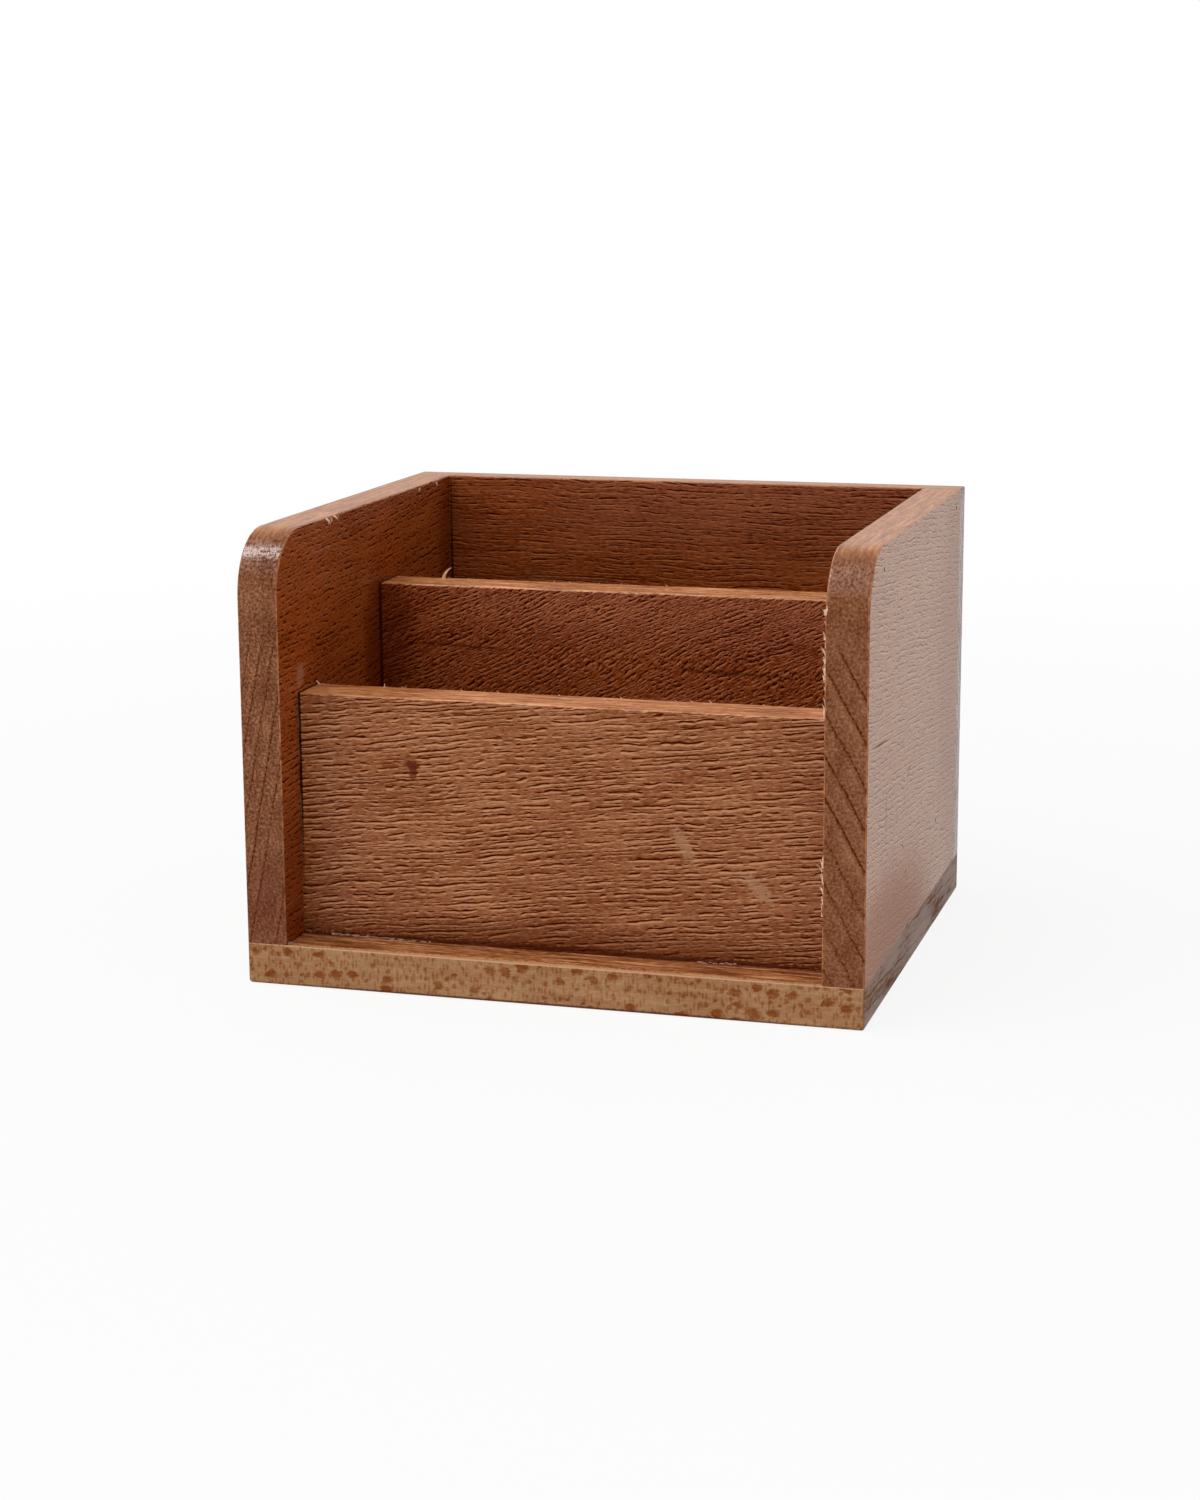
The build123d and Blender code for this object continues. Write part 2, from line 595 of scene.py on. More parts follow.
@dataclass(frozen=True)
class Rings:
    """End grain: year rings, with pores and clouds.

    Attributes:
        spacing: Distance between two rings.
        lean: Degrees that the ring lines lean back from upright.
        bow: How far the rings wander.
        strength: How much a ring line darkens the wood.
        top: Height above which no ring shows.
        drawn: How much longer than high the pores and the clouds are.
        start: How far the pattern is moved, in rings.
    """

    # Noise that bends the rings, and that makes the pores and the clouds
    BOW = Pattern((9.0, 24.0))
    PORES = Pattern((0.55, 0.55), 3.0, 0.7)
    CLOUD = Pattern((3.5, 6.0))
    # Where in a ring its dark line and its pale band rise and fall
    LINE = ((0.82, 0.91), (1.0, 0.95))
    BAND = ((0.4, 0.66), (0.78, 0.7))
    # How far the noise of one ring lies from the next one's, and how bold rings are and how much that varies
    STRIDE = 3.7
    BOLD = (0.75, 1.6)
    # Height over which the rings fade out below their top, and how much of them shows where no cloud lies
    FADE = 5.0
    UNCLOUDED = 0.7
    # How much a cloud and a pale band lighten the wood
    CLOUD_LIGHT = 0.4
    BAND_LIGHT = 0.35
    # How much a line darkens it, and how much the pores break that up
    LINE_DARK = 1.3
    LINE_BREAKS = 2.0

    spacing: float
    lean: float
    bow: float = 0.4
    strength: float = 0.3
    top: float = 200.0
    drawn: float = 1.0
    start: float = 0.0

    def draw(self, graph: Graph, side: Value, height: Value, seed: float, grit: float) -> Value:
        """Draw the end grain.

        Args:
            graph: The material's graph.
            side: Horizontal place on the face.
            height: Height on it.
            seed: Moves the pattern.
            grit: How strong the pores are.

        Returns:
            The ramp's level.
        """
        lean = math.radians(self.lean)
        bow = self.BOW.at(graph, side, height, (seed, 0.0)) * self.bow
        wave = (side * math.cos(lean) + height * math.sin(lean)) / self.spacing + bow + self.start
        ring = wave.fraction()
        line, band = [ring.rise(*rises) * ring.rise(*falls) for rises, falls in (self.LINE, self.BAND)]
        bold = graph.noise(wave.floor() * self.STRIDE + seed, 0.5, 0.0) * self.BOLD[1] + self.BOLD[0]
        pores = self.PORES.at(graph, side / self.drawn, height)
        cloud = self.CLOUD.at(graph, side / self.drawn, height, (seed, 0.0))
        shown = height.rise(self.top, self.top - self.FADE) * (cloud + self.UNCLOUDED) * bold * self.strength
        dark = line * (self.LINE_DARK - pores * self.LINE_BREAKS)
        return MAIN + pores * grit + cloud * self.CLOUD_LIGHT + (band * self.BAND_LIGHT - dark) * shown


@dataclass(frozen=True)
class Mark:
    """One small local mark on a face.

    Attributes:
        facing: The face that it is on.
        centre: Its place on that face: the horizontal coordinate, then the other one.
        half: Its half length and half height.
        colour: Its colour.
        turn: Degrees that it is turned, anticlockwise on the face's coordinates.
        strength: How much it covers, 0 to 1.
        ragged: How broken its outline is.
        dull: How much of its lacquer it has lost.
    """

    # Noise that breaks the outline
    BREAKS = Pattern((0.7, 0.7), strength=2.0)
    # Distances from the middle at which a mark starts to show and shows in full, in half lengths
    EDGE = (1.0, 0.5)

    facing: Facing
    centre: Pair
    half: Pair
    colour: Colour
    turn: float = 0.0
    strength: float = 0.8
    ragged: float = 0.5
    dull: float = 0.7

    def draw(self, spot: Spot, colour: object, dull: Value) -> tuple[bpy.types.NodeSocket, Value]:
        """Draw the mark.

        Args:
            spot: The point that is shaded.
            colour: Its colour without the mark.
            dull: How much of its lacquer it has lost without the mark.

        Returns:
            Both with the mark.
        """
        mask = self.mask(spot)
        return spot.graph.blend(colour, self.colour, mask * self.strength), dull.most(mask * self.dull)

    def mask(self, spot: Spot) -> Value:
        """Where the mark shows.

        Args:
            spot: The point that is shaded.

        Returns:
            0 to 1.
        """
        axis, _ = self.facing.value
        first, second = [spot.place[i] for i in range(3) if i != axis]
        turn = math.radians(self.turn)
        x = first - self.centre[0]
        y = second - self.centre[1]
        u = (x * math.cos(turn) + y * math.sin(turn)) / self.half[0]
        v = (y * math.cos(turn) - x * math.sin(turn)) / self.half[1]
        far = (u * u + v * v) ** 0.5 + self.BREAKS.at(spot.graph, first, second) * self.ragged
        return far.rise(*self.EDGE) * self.facing.mask(spot)


@dataclass(frozen=True)
class Beech:
    """A board of steamed beech under satin lacquer.

    Attributes:
        name: The material's name.
        grain: Which way the grain runs.
        face: Tones of the broad faces.
        edge: Tones of the narrow long-grain edges.
        end: Tones of the end grain.
        figure: What the broad faces show.
        rings: The year rings on the end grain.
        seed: Moves the pattern, so that no two boards are alike.
        away: The broad face, if any, that has the tones that the boards share.
        fibre: How strong the fine fibre lines are.
        streak: How strong the broad streaks are.
        thread: How strong the lines on the narrow edges are, the long fine ones and the ragged ones.
        blotch: How strong the cloudy patches are.
        grit: How strong the pores of the end grain are.
        arris: Colour of the arrises, a painted highlight.
        arris_share: How much the arrises show.
        marks: Local marks, later ones on top.
        end_gap: Distance from the middle at which the dark line of a butted end starts, or 0.
        gap_dust: How much grey dust and glue lies in that line.
        gap_from: Heights at which the line starts to show and shows in full.
        gloss: The lacquer's mean roughness.
        lustre: How strongly the lacquer mirrors, where 0.5 is plain varnish.
        end_dull: How much of the lacquer has sunk into the end grain.
    """

    # Noise that bends the grain, in long waves and in short ones
    WANDER = Pattern((38.0, 16.0), strength=4.0)
    SWAY = Pattern((14.0, 5.0), strength=0.5)
    # Noise of the wood: fibres, streaks, blotches, and the long and the ragged lines on the narrow edges
    FIBRE = Pattern((1.3, 0.42), 3.0, 0.65)
    STREAK = Pattern((20.0, 1.4), 2.0, 0.55)
    BLOTCH = Pattern((21.0, 11.0))
    THREAD = Pattern((14.0, 0.8), 3.0, 0.65, strength=0.8)
    RAG = Pattern((2.4, 1.1), 3.0, 0.65, strength=0.35)
    # How strong the fibres are on the narrow edges, and in the relief
    EDGE_FIBRE = 0.6
    FIBRE_RELIEF = 0.4
    # Noise of the gloss
    MOTTLE = Pattern((3.0, 1.1), 3.0, strength=0.14)
    # Noise of the arrises' painted highlight and of the dust in an end gap, and where each starts and shows
    # in full
    ARRIS_NOISE = Pattern((2.5, 2.5), 3.0, 0.65)
    ARRIS_NOISE_LEVELS = (-0.2, 0.2)
    DUST = Pattern((6.0, 1.0))
    DUST_LEVELS = (-0.1, 0.15)
    # How much of a normal lies along the grain where the end grain starts to show, and shows in full
    END_TURN = (0.1, 0.65)
    # How much of a normal lies across the grain where a rubbed arris starts and stops
    ARRIS_STARTS = (0.2, 0.5)
    ARRIS_STOPS = (0.98, 0.8)
    # How far the narrow edges' pattern lies from the broad faces', in millimetres
    EDGE_SHIFT = 37.0
    # How much an end gap covers
    GAP_SHOWN = 0.95
    # Width of its soft edge, and where its dust starts and lies in full, in millimetres
    GAP_EDGE = 0.15
    GAP_DUSTY = (0.4, 0.5)
    # Levels at which a face and an end are dull: where that starts, and where it is so in full
    TORN_LEVELS = (0.46, 0.21)
    PORE_LEVELS = (0.55, 0.25)
    # How much of its lacquer a narrow edge and a pore in the end grain have lost
    EDGE_WEAR = 0.25
    PORE_WEAR = 0.7
    # How much of the end grain's pattern is in the relief
    END_RELIEF = 0.3
    # Depth of the relief, in metres, and how much of it shows
    RELIEF_DEPTH = 0.12 * MM
    RELIEF_SHOWN = 0.5
    # Roughness of bare wood, and the least that the lacquer has
    BARE_ROUGHNESS = 0.8
    LEAST_ROUGHNESS = 0.12
    # How much smoother the lacquer is on end grain
    END_POLISH = 0.12

    name: str
    grain: Grain
    face: Tones
    edge: Tones
    end: Tones
    figure: Union[Ripple, Flecks]
    rings: Rings
    seed: float
    away: Facing | None = None
    fibre: float = 0.5
    streak: float = 0.5
    thread: float = 1.0
    blotch: float = 0.3
    grit: float = 1.0
    arris: Colour = tone(205, 150, 110)
    arris_share: float = 0.35
    marks: tuple[Mark, ...] = ()
    end_gap: float = 0.0
    gap_dust: float = 0.5
    gap_from: Pair = (0.0, 1.0)
    gloss: float = 0.32
    lustre: float = 0.45
    end_dull: float = 0.0

    def material(self) -> bpy.types.Material:
        """Build the material.

        Returns:
            The material, ready for a slot.
        """
        made, graph = new_material(self.name)
        spot = Spot(graph, [part / MM for part in graph.reading("Object")], graph.reading("Normal"))
        along, side = self.grain.value
        height = spot.place[2]
        on_side = abs(spot.normal[side]) > abs(spot.normal[2])
        on_end = abs(spot.normal[along]).rise(*self.END_TURN)
        edge_across = spot.place[side] + self.EDGE_SHIFT
        across = edge_across + (height - edge_across) * on_side

        grain_place = (spot.place[along] + self.seed, across + self.seed)
        level, relief, torn = self.long_grain(graph, *grain_place, on_side)
        end_level = self.rings.draw(graph, spot.place[side], height, self.seed, self.grit)
        relief = relief * (1 - on_end) + end_level * on_end * self.END_RELIEF
        colour = self.wood(spot, level, end_level, on_side, on_end)
        worn = torn + (1 - on_side) * self.EDGE_WEAR
        pores = end_level.rise(*self.PORE_LEVELS) * self.PORE_WEAR
        dull = worn + (pores + self.end_dull - worn) * on_end
        if self.end_gap:
            colour, dull = self.draw_end_gap(spot, colour, dull)
        for mark in self.marks:
            colour, dull = mark.draw(spot, colour, dull)

        mottle = self.MOTTLE.at(graph, spot.place[along], across)
        roughness = (self.gloss - on_end * self.END_POLISH + mottle).most(self.LEAST_ROUGHNESS)
        bump_inputs = {"Strength": self.RELIEF_SHOWN, "Distance": self.RELIEF_DEPTH, "Height": relief}
        bump = graph.node("ShaderNodeBump", {}, bump_inputs)
        shared = {"Base Color": colour, "Normal": bump.outputs[0]}
        polished = shared | {"Roughness": roughness, "Specular IOR Level": self.lustre}
        stripped = shared | {"Roughness": self.BARE_ROUGHNESS, "Specular IOR Level": 0.0}
        lacquer, bare = [graph.node("ShaderNodeBsdfPrincipled", {}, given) for given in (polished, stripped)]
        inputs = {0: dull, 1: lacquer.outputs[0], 2: bare.outputs[0]}
        graph.show(graph.node("ShaderNodeMixShader", {}, inputs))
        return made

    def wood(
        self, spot: Spot, level: Value, end_level: Value, on_side: Value, on_end: Value
    ) -> bpy.types.NodeSocket:
        """The colour of the clean wood.

        Args:
            spot: The point that is shaded.
            level: The ramps' level where the grain runs along the face.
            end_level: The ramp's level on end grain.
            on_side: 1 on the broad faces, 0 on the narrow edges.
            on_end: 1 on end grain.

        Returns:
            The colour.
        """
        graph = spot.graph
        edge, face = [graph.ramp(level, tones.stops()) for tones in (self.edge, self.face)]
        colour = graph.blend(edge, face, on_side)
        if self.away:
            colour = graph.blend(colour, graph.ramp(level, SHARED_TONES.stops()), self.away.mask(spot))
        colour = graph.blend(colour, graph.ramp(end_level, self.end.stops()), on_end)
        return graph.blend(colour, self.arris, self.arris_mask(spot))

    def draw_end_gap(self, spot: Spot, colour: object, dull: Value) -> tuple[bpy.types.NodeSocket, Value]:
        """Draw the dark line where the board's ends close on the walls, and the dust in it.

        Args:
            spot: The point that is shaded.
            colour: Its colour without the line.
            dull: How much of its lacquer it has lost without the line.

        Returns:
            Both with the line.
        """
        height = spot.place[2]
        from_middle = abs(spot.place[self.grain.value[0]])
        dust = self.DUST.at(spot.graph, height, self.seed).rise(*self.DUST_LEVELS) * self.gap_dust
        shown = height.rise(*self.gap_from) * self.GAP_SHOWN
        gap = from_middle.rise(self.end_gap, self.end_gap + self.GAP_EDGE) * shown
        dusty = from_middle.rise(*[self.end_gap + inset for inset in self.GAP_DUSTY])
        colour = spot.graph.blend(colour, GAP, gap)
        return spot.graph.blend(colour, GAP_DUST, dusty * dust * shown), dull.most(gap)

    def long_grain(
        self, graph: Graph, along: Value, across: Value, on_side: Value
    ) -> tuple[Value, Value, Value]:
        """The pattern of the faces that the grain runs along.

        Args:
            graph: The material's graph.
            along: Place along the grain.
            across: Place across it.
            on_side: 1 on the broad faces, 0 on the narrow edges.

        Returns:
            The ramp's level, the height for the bump, and where the wood is torn and dull.
        """
        figure = self.figure
        slope = math.radians(figure.slope)
        wander = self.WANDER.at(graph, along, across) + self.SWAY.at(graph, along, across)
        bent = across + wander * on_side * figure.wave
        run = along * math.cos(slope) + bent * math.sin(slope)
        lift = bent * math.cos(slope) - along * math.sin(slope)

        fibre, streak = [pattern.at(graph, run, lift) for pattern in (self.FIBRE, self.STREAK)]
        blotch, thread, rag = [
            pattern.at(graph, along, across) for pattern in (self.BLOTCH, self.THREAD, self.RAG)
        ]
        line, lip, height = figure.draw(graph, run, lift)
        line = line * on_side
        # For a ripple, the lips add a painted highlight and the dashes' darkness is partly painted shade
        broad = fibre * self.fibre + streak * self.streak + lip * figure.pale - line * figure.dark
        narrow = (thread + rag) * self.thread + fibre * self.EDGE_FIBRE
        level = MAIN + blotch * self.blotch + narrow + (broad - narrow) * on_side
        torn = level.rise(*self.TORN_LEVELS) * on_side * figure.dull
        relief = (height + fibre * self.FIBRE_RELIEF) * on_side + narrow * (1 - on_side)
        return level, relief, torn

    def arris_mask(self, spot: Spot) -> Value:
        """Where the rounded arrises of the broad faces show a paler painted highlight.

        Args:
            spot: The point that is shaded.

        Returns:
            0 to 1.
        """
        turned = abs(spot.normal[self.grain.value[1]])
        x, y, height = spot.place
        highlit_spots = self.ARRIS_NOISE.at(spot.graph, x + y, height, (0.0, self.seed)).rise(*self.ARRIS_NOISE_LEVELS)
        return turned.rise(*self.ARRIS_STARTS) * turned.rise(*self.ARRIS_STOPS) * highlit_spots * self.arris_share


def new_material(name: str) -> tuple[bpy.types.Material, Graph]:
    """Start a material.

    Args:
        name: The material's name.

    Returns:
        The material, with no nodes yet, and its graph.
    """
    made = bpy.data.materials.new(name)
    made.use_nodes = True
    return made, Graph(made.node_tree)


def box_mm(node: str) -> tuple[Vector, Vector]:
    """The lowest and the highest corner of a CAD node, in millimetres."""
    low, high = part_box(node)
    return low / MM, high / MM


# Half the bays' width, the top of the base and the front of the walls, in millimetres
BAY_EDGE = box_mm("front_panel")[1].x
BASE_TOP = box_mm("base_board")[1].z
STAND_FRONT = box_mm("base_board")[0].y
# Middle of the front panel's foot, and of the base's top front arris, on the faces that they are marked on
PANEL_FOOT = (0.0, BASE_TOP + 0.1)
BASE_ARRIS = (0.0, STAND_FRONT + 0.1)

# Tones of the broad faces that face away; the seen faces have their own, partly painted shade, darker and
# redder inside the bays
SHARED_TONES = Tones(tone(80, 30, 8), tone(150, 88, 46), tone(200, 144, 102))
EDGE_TONES = Tones(tone(112, 52, 18), tone(176, 108, 54), tone(226, 160, 100))
CROSS_EDGE_TONES = Tones(tone(112, 48, 14), tone(196, 118, 62), tone(250, 184, 126))
END_TONES = Tones(tone(70, 28, 8), tone(122, 66, 30), tone(164, 108, 68))
PIN_TONES = Tones(tone(150, 110, 72), tone(186, 148, 106), tone(208, 176, 136))
# Painted highlight on the cross boards' arrises
CROSS_ARRIS_HIGHLIGHT = tone(226, 164, 112)
# Painted highlight on the base's top front arris
BASE_ARRIS_HIGHLIGHT = tone(226, 176, 130)
GAP = tone(28, 7, 2)
GAP_DUST = tone(120, 106, 102)
DARK_TEAR = tone(60, 20, 6)
RAW_CHIP = tone(226, 186, 146)
RUB = tone(182, 134, 98)
FOOT_SHADE = tone(74, 24, 4)
CORNER_SHADE = tone(84, 17, 0)
# Painted shade: the browner lower front of the right wall, where its sheen is missing
PAINTED_SHADE_PATCH = tone(148, 74, 30)


def shade(facing: Facing, centre: Pair, half: Pair, colour: Colour, strength: float, dull: float) -> Mark:
    """A soft shade on a face, as in a corner that little light reaches."""
    return Mark(facing, centre, half, colour, strength=strength, ragged=0.2, dull=dull)


def tear(centre: Pair, half: Pair, strength: float = 0.8, turn: float = 0.0) -> Mark:
    """A dark tear or speck on a face that points right."""
    return Mark(Facing.RIGHT, centre, half, DARK_TEAR, turn=turn, strength=strength)


@dataclass
class CrossBoards:
    """The front panel, the divider and the back panel, with their grain across the stand.

    Attributes:
        front: The low board that the cards lean against.
        divider: The board between the two bays.
        back: The full-width back.
    """

    front: Beech = Beech(
        "front_panel_beech",
        Grain.ACROSS,
        Tones(tone(71, 17, 1), tone(146, 78, 31), tone(201, 141, 97)),
        CROSS_EDGE_TONES,
        END_TONES,
        Ripple((3.2, 1.3), slope=6.5, wave=0.4, thick=0.17, bare=-0.1, dark=0.6, depth=0.5),
        Rings(2.5, 60.0),
        seed=11.0,
        end_gap=BAY_EDGE - 0.6,
        gap_dust=0.9,
        gap_from=(BASE_TOP, 40.0),
        fibre=0.85,
        thread=2.4,
        lustre=0.325,
        arris=CROSS_ARRIS_HIGHLIGHT,
        arris_share=0.7,
        marks=(
            Mark(Facing.FRONT, (-29.2, 42.7), (2.3, 0.95), tone(96, 32, 8), strength=0.85, ragged=0.4),
            Mark(Facing.FRONT, (-29.0, 41.4), (1.9, 1.1), tone(92, 28, 8), 85.0, strength=0.85, ragged=0.4),
            Mark(Facing.FRONT, (-33.6, 42.2), (2.6, 1.0), tone(112, 46, 18), strength=0.5),
            Mark(Facing.FRONT, (24.0, 30.3), (4.8, 1.5), RUB, -59.0, strength=0.55, ragged=0.8, dull=0.0),
            Mark(Facing.FRONT, (38.1, 22.9), (4.8, 1.7), RUB, -41.0, strength=0.6, ragged=0.8, dull=0.0),
            Mark(Facing.FRONT, PANEL_FOOT, (80.0, 6.5), FOOT_SHADE, strength=0.4, ragged=0.3, dull=0.5),
            Mark(Facing.FRONT, PANEL_FOOT, (80.0, 1.5), FOOT_SHADE, ragged=0.45),
        ),
    )
    divider: Beech = Beech(
        "divider_beech",
        Grain.ACROSS,
        Tones(tone(56, 8, 1), tone(146, 63, 16), tone(194, 114, 62)),
        CROSS_EDGE_TONES,
        END_TONES,
        Ripple((1.1, 0.95), slope=25.0, wave=1.2, thick=0.23, bare=-0.07, dark=0.58, depth=0.75),
        Rings(2.5, 60.0),
        seed=47.0,
        end_gap=BAY_EDGE - 0.7,
        gap_dust=0.3,
        fibre=1.45,
        thread=2.6,
        arris=CROSS_ARRIS_HIGHLIGHT,
        arris_share=0.7,
        gloss=0.27,
        lustre=0.33,
        marks=(
            Mark(Facing.FRONT, (-35.0, 57.7), (14.0, 0.35), DARK_TEAR, -2.0, strength=0.6, ragged=1.0),
            Mark(Facing.FRONT, (23.0, 54.5), (17.0, 0.45), DARK_TEAR, -1.7, strength=0.6, ragged=1.0),
            shade(Facing.FRONT, (-52.5, 60.0), (11.0, 19.0), CORNER_SHADE, strength=0.55, dull=0.85),
        ),
    )
    back: Beech = Beech(
        "back_panel_beech",
        Grain.ACROSS,
        Tones(tone(56, 10, 1), tone(136, 60, 15), tone(176, 98, 46)),
        EDGE_TONES,
        END_TONES,
        Ripple((3.4, 1.2), slope=-1.0, bare=-0.1, dark=0.65, depth=0.6),
        Rings(2.5, 30.0),
        seed=83.0,
        away=Facing.BACK,
        fibre=1.1,
        gloss=0.27,
        lustre=0.26,
        marks=tuple(
            Mark(Facing.FRONT, (side * (BAY_EDGE - 0.4), 47.0), (0.45, 52.0), GAP, ragged=0.1, dull=1.0)
            for side in (-1, 1)
        ),
    )

    def dress(self) -> None:
        """Give each board its own finish."""
        dress_node("front_panel", self.front.material())
        dress_node("middle_divider", self.divider.material())
        dress_node("back_panel", self.back.material())


@dataclass
class SideWalls:
    """The two side walls, with their grain from front to back.

    Attributes:
        left: Finish of the left wall.
        right: Finish of the right wall.
    """

    left: Beech = Beech(
        "left_wall_beech",
        Grain.FORWARD,
        Tones(tone(66, 16, 1), tone(156, 71, 18), tone(190, 106, 46)),
        EDGE_TONES,
        Tones(tone(56, 20, 4), tone(124, 68, 32), tone(190, 132, 86)),
        Ripple((2.4, 1.3), 2.0, wave=0.6, thick=0.19, bare=-0.06, dark=0.45, pale=0.25, dull=0.9, depth=0.6),
        Rings(2.45, -11.0, 0.5, strength=0.25, top=71.0, start=0.28),
        seed=19.0,
        away=Facing.LEFT,
        fibre=1.0,
        thread=1.6,
        grit=1.25,
        lustre=0.38,
        end_dull=0.2,
        arris=tone(214, 142, 96),
        arris_share=0.7,
        marks=(
            Mark(Facing.RIGHT, (-23.7, 86.2), (1.0, 0.5), RAW_CHIP, -30.0, strength=1.0),
            Mark(Facing.RIGHT, (-20.0, 86.4), (0.6, 0.3), RAW_CHIP),
            Mark(Facing.RIGHT, (27.3, 86.1), (1.0, 0.35), RAW_CHIP, 60.0),
            Mark(Facing.RIGHT, (38.2, 86.2), (0.9, 0.35), RAW_CHIP, 60.0),
            Mark(Facing.RIGHT, (-41.8, 58.8), (2.6, 2.4), tone(176, 134, 108), 60.0, strength=0.5, dull=0.0),
            shade(Facing.RIGHT, (-48.0, 8.0), (12.0, 34.0), tone(90, 30, 6), strength=0.4, dull=0.3),
            shade(Facing.RIGHT, (1.0, 58.0), (11.0, 20.0), CORNER_SHADE, strength=0.45, dull=0.7),
            shade(Facing.RIGHT, (48.0, 74.0), (12.0, 24.0), CORNER_SHADE, strength=0.4, dull=0.7),
            shade(Facing.FRONT, (-56.0, 8.0), (12.0, 26.0), tone(104, 42, 18), strength=0.45, dull=0.3),
        ),
    )
    right: Beech = Beech(
        "right_wall_beech",
        Grain.FORWARD,
        Tones(tone(92, 34, 6), tone(166, 98, 36), tone(204, 144, 80)),
        EDGE_TONES,
        Tones(tone(76, 32, 10), tone(129, 73, 36), tone(174, 118, 76)),
        Ripple((2.1, 1.2), slope=-6.0, wave=0.5, bare=-0.08, dark=0.7, pale=0.45, dull=0.3, depth=0.35),
        Rings(3.75, 28.5, 0.35, strength=0.29, top=72.0, start=0.22),
        seed=61.0,
        away=Facing.LEFT,
        fibre=0.8,
        streak=0.15,
        blotch=0.15,
        thread=1.6,
        grit=1.2,
        arris=tone(220, 140, 86),
        arris_share=0.8,
        end_dull=0.3,
        lustre=0.45,
        marks=(
            # Painted shade: browner and duller low at the front, where the sheen is missing, and darker
            # towards the rear
            Mark(Facing.RIGHT, (-34.0, 6.0), (62.0, 24.0), PAINTED_SHADE_PATCH, strength=0.48, ragged=0.3, dull=0.44),
            shade(Facing.RIGHT, (54.0, 54.0), (42.0, 62.0), tone(134, 74, 30), strength=0.35, dull=0.12),
            tear((-39.0, 82.5), (0.8, 0.6)),
            tear((-15.6, 25.7), (0.6, 0.45)),
            tear((22.6, 22.0), (0.9, 0.5)),
            tear((41.6, 83.8), (0.9, 0.5)),
            tear((-11.9, 19.8), (0.8, 0.5), strength=0.4),
            tear((-9.6, 8.3), (1.4, 0.6), strength=0.7),
            tear((-40.0, 50.7), (7.8, 0.3), strength=0.5, turn=-4.0),
            tear((-10.1, 39.4), (3.4, 0.3), strength=0.5, turn=32.0),
            tear((-33.7, 36.0), (5.7, 0.3), strength=0.3, turn=90.0),
        ),
    )

    def dress(self) -> None:
        """Give each wall its own finish."""
        dress_node("left_side", self.left.material())
        dress_node("right_side", self.right.material())


@dataclass
class BaseBoard:
    """The bottom board, paler than the rest and flecked along its front edge.

    Attributes:
        finish: Its finish.
    """

    finish: Beech = Beech(
        "base_beech",
        Grain.ACROSS,
        Tones(tone(130, 64, 16), tone(168, 121, 77), tone(210, 164, 116)),
        Tones(tone(92, 42, 14), tone(162, 96, 50), tone(232, 168, 118)),
        Tones(tone(104, 66, 42), tone(132, 91, 64), tone(160, 120, 90)),
        Flecks((3.4, 2.3), share=0.27, dark=0.43, pale=0.11, dull=0.7),
        Rings(2.6, 86.0, strength=0.08, drawn=9.0),
        seed=5.0,
        fibre=0.55,
        thread=2.6,
        grit=0.3,
        lustre=0.36,
        end_dull=0.6,
        marks=(
            tear((33.5, 3.1), (1.1, 0.6)),
            # Painted highlight along the base's top front arris, on its front face and on its top
            Mark(Facing.FRONT, (0.0, BASE_TOP), (90.0, 0.35), tone(226, 180, 136), ragged=0.3, dull=0.0),
            Mark(Facing.TOP, BASE_ARRIS, (90.0, 1.7), BASE_ARRIS_HIGHLIGHT, strength=0.7, ragged=0.8, dull=0.0),
            Mark(Facing.FRONT, (0.0, 0.0), (90.0, 0.8), FOOT_SHADE, ragged=0.2),
        ),
    )

    def dress(self) -> None:
        """Give the base its finish."""
        dress_node("base_board", self.finish.material())


@dataclass
class DowelPins:
    """The fluted pins in the joints, of raw beech.

    Attributes:
        finish: Their finish.
        nodes: Their CAD nodes.
    """

    finish: Beech = Beech(
        "raw_pin_beech",
        Grain.ACROSS,
        PIN_TONES,
        PIN_TONES,
        Tones(tone(140, 100, 64), tone(172, 134, 94), tone(196, 160, 120)),
        Ripple((3.0, 1.0), dark=0.2, pale=0.1, dull=0.0),
        Rings(1.4, 40.0),
        seed=97.0,
        gloss=0.7,
    )
    nodes: tuple[str, ...] = ("base_dowels", "front_panel_dowels", "divider_dowels", "back_panel_dowels")

    def dress(self) -> None:
        """Give all the pins one finish."""
        material = self.finish.material()
        for node in self.nodes:
            dress_node(node, material)


@dataclass(frozen=True)
class Cloudy:
    """A plain matt finish with clouds of two colours.

    Attributes:
        name: The material's name.
        dark: The darker colour.
        pale: The paler one.
        cloud: Size of the clouds, in millimetres.
        gloss: Its mean roughness.
    """

    # How sharply the two colours part, how much the clouds change the roughness, and how strongly it mirrors
    CONTRAST = 2.0
    PATCHY = 0.3
    LUSTRE = 0.3

    name: str
    dark: Colour
    pale: Colour
    cloud: float
    gloss: float = 0.6

    def material(self) -> bpy.types.Material:
        """Build the material.

        Returns:
            The material, ready for a slot.
        """
        made, graph = new_material(self.name)
        x, y, z = [part / (self.cloud * MM) for part in graph.reading("Object")]
        clouds = graph.noise(x + y, z, 3.0)
        colour = graph.blend(self.dark, self.pale, 0.5 + clouds * self.CONTRAST)
        roughness = self.gloss + clouds * self.PATCHY
        inputs = {"Base Color": colour, "Roughness": roughness, "Specular IOR Level": self.LUSTRE}
        graph.show(graph.node("ShaderNodeBsdfPrincipled", {}, inputs))
        return made


